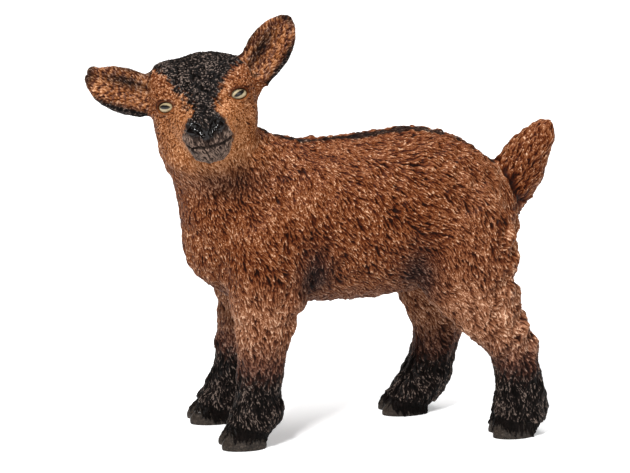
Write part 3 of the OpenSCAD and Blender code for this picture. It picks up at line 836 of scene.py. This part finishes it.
class Skin:
    """A field's surface: its points, quads, normals, and each point's CAD solid and kind of coat."""

    def __init__(self, field, owners):
        self.field = field
        self.points, self.quads = field.skin()
        self.normals = field.normal(self.points)
        self.owner = nearest_owner(self.points, owners)
        self.kind = coat_kinds(self.points, self.owner)

    def strands(self, mine, rng):
        """Strands rooted on the points of the skin that are picked out by mine."""
        loose = coat_kinds(self.points + rng.normal(0, 0.45, self.points.shape), self.owner)
        loose = np.where((loose == BARE) | (self.kind == BARE), self.kind, loose)
        roots = roots_on(self.points, np.where(mine, loose, BARE), rng)
        return grow(self.field, self.points[roots], loose[roots], rng)

    def raise_relief(self, strands, tones):
        """Presses the strands in and notes what the paint needs to know."""
        rise, strand = press(self.points, *strands)
        crest = np.zeros(len(tones))
        np.maximum.at(crest, strands[3], strands[2])
        share = rise / np.maximum(crest[strand], 0.01)
        # Each point's rank from crease to strand tip, noted as relief: the coat paint darkens the creases and
        # lightens the tips by it, partly as wash and dry-brush and partly as painted shade and painted highlights.
        level = np.empty(len(rise))
        level[np.argsort(share)] = np.linspace(0, 1, len(rise))
        level = np.where(self.kind == BARE, 0.5, level)
        p, n = self.points, self.normals
        horn = horn_of(p, self.owner)
        self.notes = {"relief": level, "tone": np.where(rise > 0, tones[strand], 0.5),
                      "horn": horn * ramp(rise, 0.06, 0.0), **paint_masks(p, n, self.owner)}
        wild = ramp(p[:, 0], 16, 19) * ramp(p[:, 2], 7, 10) * ramp(p[:, 2], 26, 23)
        lumps = (0.09 + 0.13 * wild) * ripple(p, 2.3, 51) + 0.06 * ripple(p, 1.1, 52)
        furry = (1 - ramp(from_skull(p), 8, 6.5)) * (1 - horn)
        furry = np.where(np.isin(self.owner, [MOULDINGS.index(name) for name in EARS]), 0.1, furry)
        lift = rise - SINK - 0.12 * horn + lumps * (0.25 + 0.75 * furry) * (self.kind != BARE)
        self.points = p + n * lift[:, None]
        sole = (self.points[:, 2] < 0.3) & (n[:, 2] < -0.6)
        self.points[:, 2] = np.where(sole, 0, np.maximum(self.points[:, 2], 0))
        a, b, c, d = (self.points[self.quads[:, i]] for i in range(4))
        cross = np.cross(c - a, d - b)
        normals = np.zeros_like(self.points)
        for i in range(4):
            for axis in range(3):
                normals[:, axis] += np.bincount(self.quads[:, i], cross[:, axis], len(self.points))
        for axis, normal in zip("xyz", unit(normals).T):
            self.notes["n" + axis] = normal

    def cut(self, keep_above):
        """The skin on one side of the neck's seam: points, corners, where each polygon's corners start, and notes."""
        sheet = new_mesh("sheet", self.points, self.quads.ravel(), np.arange(len(self.quads) + 1) * 4)
        self.notes["owner"] = self.owner
        for name, values in self.notes.items():
            note_on(sheet, name, values)
        cut = bmesh.new()
        cut.from_mesh(sheet)
        bmesh.ops.bisect_plane(cut, geom=cut.verts[:] + cut.edges[:] + cut.faces[:], dist=1e-5,
                               plane_co=NECK_SEAM[0] * MM, plane_no=NECK_SEAM[1],
                               clear_outer=not keep_above, clear_inner=keep_above)
        cut.to_mesh(sheet)
        cut.free()
        points = pulled(sheet.vertices, "co", np.float32, 3) / MM
        corners = pulled(sheet.loops, "vertex_index")
        starts = np.append(pulled(sheet.polygons, "loop_start"), len(corners))
        notes = {name: pulled(sheet.attributes[name].data, "value", np.float32) for name in self.notes}
        bpy.data.meshes.remove(sheet)
        return points, corners, starts, notes


def edges_of(corners, starts):
    """Both ends and the polygon of each polygon's edges, and a number that both directions of an edge share."""
    following = np.arange(1, len(corners) + 1)
    following[starts[1:] - 1] = starts[:-1]
    ends = corners[following].astype(np.int64)
    begins = corners.astype(np.int64)
    polygon = np.repeat(np.arange(len(starts) - 1), np.diff(starts))
    return begins, ends, polygon, np.minimum(begins, ends) << 32 | np.maximum(begins, ends)


def tidy_islands(owner, corners, starts):
    """Hands each patch of polygons that is cut off from the rest of its piece to the piece beside it."""
    _, _, polygon, key = edges_of(corners, starts)
    order = np.argsort(key, kind="stable")
    twin = np.flatnonzero(key[order[1:]] == key[order[:-1]])
    pairs = np.c_[polygon[order[twin]], polygon[order[twin + 1]]]
    for _ in range(4):
        label = joined(len(owner), pairs[owner[pairs[:, 0]] == owner[pairs[:, 1]]])
        sizes = np.bincount(label, minlength=len(label))
        largest = [label[np.argmax(np.where(owner == o, sizes[label], 0))] for o in np.unique(owner)]
        home = np.isin(label, largest)
        if home.all():
            break
        for a, b in pairs[home[pairs[:, 0]] != home[pairs[:, 1]]]:
            stray, kept = (b, a) if home[a] else (a, b)
            owner[label == label[stray]] = owner[kept]
    return owner


def rims_of(corners, starts):
    """The closed loops of vertices round the holes of some polygons."""
    begins, ends, _, key = edges_of(corners, starts)
    _, first, counts = np.unique(key, return_index=True, return_counts=True)
    following = {}
    for at in first[counts == 1]:
        following.setdefault(int(ends[at]), []).append(int(begins[at]))
    rims = []
    while following:
        rim, at = [], next(iter(following))
        while at in following:
            rim.append(at)
            ahead = following[at].pop()
            if not following[at]:
                del following[at]
            at = ahead
        rims.append(rim)
    return rims


def make_piece(node, points, corners, starts, notes, material):
    """A closed piece out of a skin's polygons: its open rims are capped, unseen, inside the neighbour."""
    used, corners = np.unique(corners, return_inverse=True)
    corners = corners.ravel()
    outer, skin_corners = len(starts) - 1, len(corners)
    places, caps = [points[used]], []
    for rim in rims_of(corners, starts):
        hub = len(used) + len(places) - 1
        places.append(points[used[rim]].mean(0, keepdims=True))
        caps += [(a, b, hub) for a, b in zip(rim, rim[1:] + rim[:1])]
    starts = np.concatenate([starts, starts[-1] + 3 * np.arange(1, len(caps) + 1)])
    corners = np.concatenate([corners, np.array(caps, int).ravel()])
    mesh = new_mesh("painted_" + node, np.concatenate(places), corners, starts)
    for note, values in notes.items():
        if note not in ("nx", "ny", "nz", "owner"):
            note_on(mesh, note, np.append(values[used], np.full(len(places) - 1, 0.5)))
    mesh.polygons.foreach_set("use_smooth", np.arange(len(mesh.polygons)) < outer)
    normals = np.zeros((len(corners), 3), np.float32)
    skin = unit(np.stack([notes["nx"], notes["ny"], notes["nz"]], -1)[used])
    normals[:skin_corners] = skin[corners[:skin_corners]]
    mesh.normals_split_custom_set(normals.tolist())
    finish_piece(node, mesh, material)


# ---- materials

def srgb(r, g, b):
    """A colour given as on a screen, from 0 to 255, for a shader."""
    return tuple(((v / 255 + 0.055) / 1.055) ** 2.4 if v > 10 else v / 255 / 12.92 for v in (r, g, b)) + (1.0,)


class Paint:
    """Builds the nodes of a material or a world."""

    def __init__(self, owner, shader="Principled BSDF"):
        owner.use_nodes = True
        self.nodes, self.links = owner.node_tree.nodes, owner.node_tree.links
        self.shader = self.nodes[shader]

    def node(self, kind, inputs=None, **settings):
        node = self.nodes.new("ShaderNode" + kind)
        for key, value in settings.items():
            setattr(node, key, value)
        for key, value in (inputs or {}).items():
            self.put(value, node.inputs[key])
        return node

    def surface(self, **values):
        """Sets inputs of the shader; an underscore stands for a space."""
        for name, value in values.items():
            self.put(value, self.shader.inputs[name.replace("_", " ")])

    def put(self, value, socket_in):
        if isinstance(value, bpy.types.NodeSocket):
            self.links.new(value, socket_in)
        else:
            socket_in.default_value = value

    def note(self, name):
        return self.node("Attribute", attribute_name=name).outputs["Fac"]

    def math(self, operation, a, b):
        return self.node("Math", {0: a, 1: b}, operation=operation).outputs[0]

    def scaled(self, value, by, plus):
        return self.node("Math", {0: value, 1: by, 2: plus}, operation="MULTIPLY_ADD").outputs[0]

    def blend(self, share, a, b):
        return self.node("Mix", {0: share, 6: a, 7: b}, data_type="RGBA").outputs[2]

    def noise(self, scale, detail=2.0):
        coordinates = self.node("TexCoord").outputs["Object"]
        return self.node("TexNoise", {"Vector": coordinates, "Scale": scale, "Detail": detail}).outputs["Fac"]

    def colours(self, value, *stops):
        """A colour ramp; each stop is its place and its colour."""
        node = self.node("ValToRGB", {0: value})
        elements = node.color_ramp.elements
        for i, (place, colour) in enumerate(stops):
            element = elements[i] if i < 2 else elements.new(place)
            element.position, element.color = place, srgb(*colour)
        return node.outputs["Color"]


# The painter's colours from the creases to the tips of the strands: relief and colour of each stop. Dark creases and
# pale tips are partly the figurine's wash and dry-brush and partly painted shade in the creases and painted
# highlights on the tips. The areas are painted in this order, each over the ones before it.
BROWN = (0.05, (22, 4, 0)), (0.3, (66, 24, 5)), (0.6, (106, 56, 27)), (0.85, (138, 88, 57)), (1.0, (208, 166, 134))
AREAS = {
    "ochre": ((0.03, (66, 28, 8)), (0.5, (150, 90, 46)), (1.0, (226, 166, 118))),
    "tan": ((0.05, (38, 16, 8)), (0.3, (82, 44, 25)), (0.6, (126, 81, 56)), (0.85, (160, 114, 87)),
            (1.0, (220, 180, 150))),
    "plum_and_shade": ((0.1, (16, 6, 5)), (0.6, (50, 27, 24)), (1.0, (116, 80, 68))),
    "muzzle": ((0.1, (20, 12, 9)), (0.5, (58, 46, 40)), (1.0, (136, 114, 101))),
    "black": ((0.4, (4, 2, 1)), (0.77, (24, 17, 15)), (1.0, (116, 101, 92))),
}


def coat_paint(name, hoof):
    """Hand-painted coat: dark in the creases and pale on the strands, partly as wash and dry-brush and partly as
    painted shade and painted highlights; brown with its areas, and with or without horn.
    """
    material = bpy.data.materials.new(name)
    paint = Paint(material)
    blotch = paint.noise(420.0, 3.0)
    grain = paint.noise(4200.0, 2.0)
    level = paint.note("relief")
    for value, by in ((paint.note("tone"), 0.2), (blotch, 0.3), (grain, 0.5)):
        level = paint.math("ADD", level, paint.scaled(value, by, -by / 2))
    colour = paint.colours(level, *BROWN)
    for area, stops in AREAS.items():
        colour = paint.blend(paint.note(area), colour, paint.colours(level, *stops))
    shine = paint.note("gloss")
    if hoof:
        horn = paint.colours(grain, (0.3, (34, 29, 25)), (0.6, (58, 50, 44)), (0.8, (88, 79, 70)))
        colour = paint.blend(paint.note("horn"), colour, horn)
        shine = paint.math("MULTIPLY", paint.note("horn"), 0.4)
    rough = paint.math("SUBTRACT", paint.scaled(blotch, 0.2, 0.4), paint.math("MULTIPLY", shine, 0.2))
    bump = paint.node("Bump", {"Height": grain, "Strength": 0.35, "Distance": 0.00006})
    paint.surface(Base_Color=colour, Roughness=rough, Normal=bump.outputs["Normal"], Specular_IOR_Level=0.06,
                  Coat_Weight=paint.math("MULTIPLY", shine, 0.6), Coat_Roughness=0.1)
    return material


def eye_paint():
    """A cream eye with a dark level slit, under gloss."""
    material = bpy.data.materials.new("painted_eye")
    paint = Paint(material)
    shade = paint.noise(2500.0, 2.0)
    cream = paint.colours(shade, (0.3, (160, 141, 106)), (0.7, (192, 176, 142)))
    ring = paint.blend(paint.note("ring"), cream, srgb(74, 50, 32))
    colour = paint.blend(paint.note("slit"), ring, srgb(14, 9, 7))
    paint.surface(Base_Color=colour, Roughness=paint.scaled(shade, 0.1, 0.14), Specular_IOR_Level=0.25,
                  Coat_Weight=0.35, Coat_Roughness=0.08)
    return material


# ---- eyes

SLIT_TILT = {"left_eye": 20, "right_eye": -8}


def make_eye(node, material):
    """A domed oval eye behind the lids, with its slit noted on its points."""
    at = socket[node]
    rings, spokes = 28, 64
    deep = 0.55
    ring, spoke = np.divmod(np.arange((rings + 1) * spokes), spokes)
    polar, turn = math.pi * ring / rings, 2 * math.pi * spoke / spokes
    u = np.sin(polar) * np.cos(turn) * (EYE_WIDTH + 0.08)
    v = np.sin(polar) * np.sin(turn) * (EYE_HEIGHT + 0.08)
    w = np.cos(polar) * deep - deep + 0.12
    tilt = math.radians(SLIT_TILT[node])
    inside = np.hypot((u * math.cos(tilt) + v * math.sin(tilt)) / 0.78,
                      (v * math.cos(tilt) - u * math.sin(tilt) - 0.05) / 0.24)
    beside = np.where(spoke == spokes - 1, 1 - spokes, 1)
    a = np.arange(rings * spokes)
    b = a + beside[a]
    corners = np.stack([a, a + spokes, b + spokes, b], -1).ravel()
    mesh = new_mesh("painted_" + node, at.middle + np.outer(u, at.across) + np.outer(v, at.up) + np.outer(w, at.out),
                    corners, np.arange(len(a) + 1) * 4)
    note_on(mesh, "ring", ramp(np.hypot(u / EYE_WIDTH, v / EYE_HEIGHT), 0.78, 1.0))
    note_on(mesh, "slit", ramp(inside, 1.15, 0.85) * (w > -deep))
    shape = bmesh.new()
    shape.from_mesh(mesh)
    bmesh.ops.remove_doubles(shape, verts=shape.verts[:], dist=1e-7)
    bmesh.ops.recalc_face_normals(shape, faces=shape.faces[:])
    shape.to_mesh(mesh)
    shape.free()
    mesh.polygons.foreach_set("use_smooth", np.ones(len(mesh.polygons), bool))
    finish_piece(node, mesh, material)


# ---- making

# Room left round the solids in the body's field
MARGIN = 1.5
around_body = np.concatenate([points + room for points, _ in SOLIDS.values() for room in (-MARGIN, MARGIN)])
around_head = [on_head(s, f, t) for s in (-14, 12) for f in (-8, 10) for t in (-11, 10)]
body_names, head_names = ["torso", "tail"] + LEGS, ["head"] + EARS
body = Skin(whole_field(around_body, BODY_CELL), body_names)
head = Skin(whole_field(around_head, HEAD_CELL), head_names)
rng = np.random.default_rng(7)
groups = [body.strands(neck_side(body.points) <= 0, rng), head.strands(neck_side(head.points) > 0, rng)]
groups[1][3][:] += groups[0][3].max() + 1
strands = [np.concatenate(parts) for parts in zip(*groups)]
tones = rng.uniform(0, 1, strands[3].max() + 1)

coat = coat_paint("painted_coat", False)
leg_coat = coat_paint("painted_legs", True)
for skin, above, names in ((body, False, body_names), (head, True, head_names)):
    skin.raise_relief(strands, tones)
    points, corners, starts, notes = skin.cut(above)
    sizes = np.diff(starts)
    owner = tidy_islands(np.round(notes["owner"][corners[starts[:-1]]]).astype(int), corners, starts)
    for name in names:
        mine = owner == MOULDINGS.index(name)
        is_leg = name in LEGS
        make_piece(name, points, corners[np.repeat(mine, sizes)], np.append(0, np.cumsum(sizes[mine])), notes,
                   leg_coat if is_leg else coat)
glass = eye_paint()
for name in EYES:
    make_eye(name, glass)


# ---- floor, lights and camera

LOOK_AT = Vector((-0.99, 1.3, 22.2)) * MM
AZIMUTH, ELEVATION = math.radians(-11), math.radians(15)
FAR = 0.45


def aimed(name, data, place):
    """A lamp's or the camera's object, turned to LOOK_AT."""
    item = linked(name, data)
    item.location = place
    item.rotation_mode = "QUATERNION"
    item.rotation_quaternion = (LOOK_AT - item.location).to_track_quat("-Z", "Y")
    return item


def lamp(name, place, power, size):
    light = bpy.data.lights.new(name, "AREA")
    light.shape, light.energy, light.size = "DISK", power, size
    aimed(name, light, place)


lamp("key", (-0.20, -0.30, 0.44), 3.3, 0.11)
lamp("fill", (0.38, -0.34, 0.22), 0.45, 0.3)
lamp("top", (0.10, 0.10, 0.5), 1.6, 0.25)

camera = bpy.data.cameras.new("camera")
camera.sensor_width = 36
camera.lens = 231.4
camera.clip_start, camera.clip_end = 0.01, 20
back = Vector((math.sin(AZIMUTH) * math.cos(ELEVATION), -math.cos(AZIMUTH) * math.cos(ELEVATION),
               math.sin(ELEVATION)))
bpy.context.scene.camera = aimed("camera", camera, LOOK_AT + back * FAR)

world = bpy.data.worlds.new("world")
bpy.context.scene.world = world
sky = Paint(world, "Background")
seen = sky.node("LightPath").outputs["Is Camera Ray"]
sky.surface(Color=(1, 1, 1, 1), Strength=sky.node("Mix", {0: seen, 2: 0.25, 3: 1.0}).outputs[0])

floor_mesh = bpy.data.meshes.new("floor")
wide = 3.0
floor_mesh.from_pydata([(-wide, -wide, 0), (wide, -wide, 0), (wide, wide, 0), (-wide, wide, 0)], [], [(0, 1, 2, 3)])
floor = linked("floor", floor_mesh)
pale_floor = bpy.data.materials.new("pale_floor")
ground = Paint(pale_floor)
mottle = ground.noise(30.0, 3.0)
pale = ground.colours(mottle, (0.3, (243, 243, 243)), (0.7, (246, 246, 246)))
ground.surface(Base_Color=pale, Roughness=0.9, Specular_IOR_Level=0.1)
glow = ground.node("Emission", {"Color": (1, 1, 1, 1)})
ray = ground.node("LightPath").outputs["Is Camera Ray"]
ground.put(ground.math("MULTIPLY", ray, 0.35), glow.inputs["Strength"])
both = ground.node("AddShader", {0: ground.shader.outputs[0], 1: glow.outputs[0]})
ground.put(both.outputs[0], ground.nodes["Material Output"].inputs["Surface"])
floor_mesh.materials.append(pale_floor)

bpy.context.scene.view_settings.view_transform = "Standard"
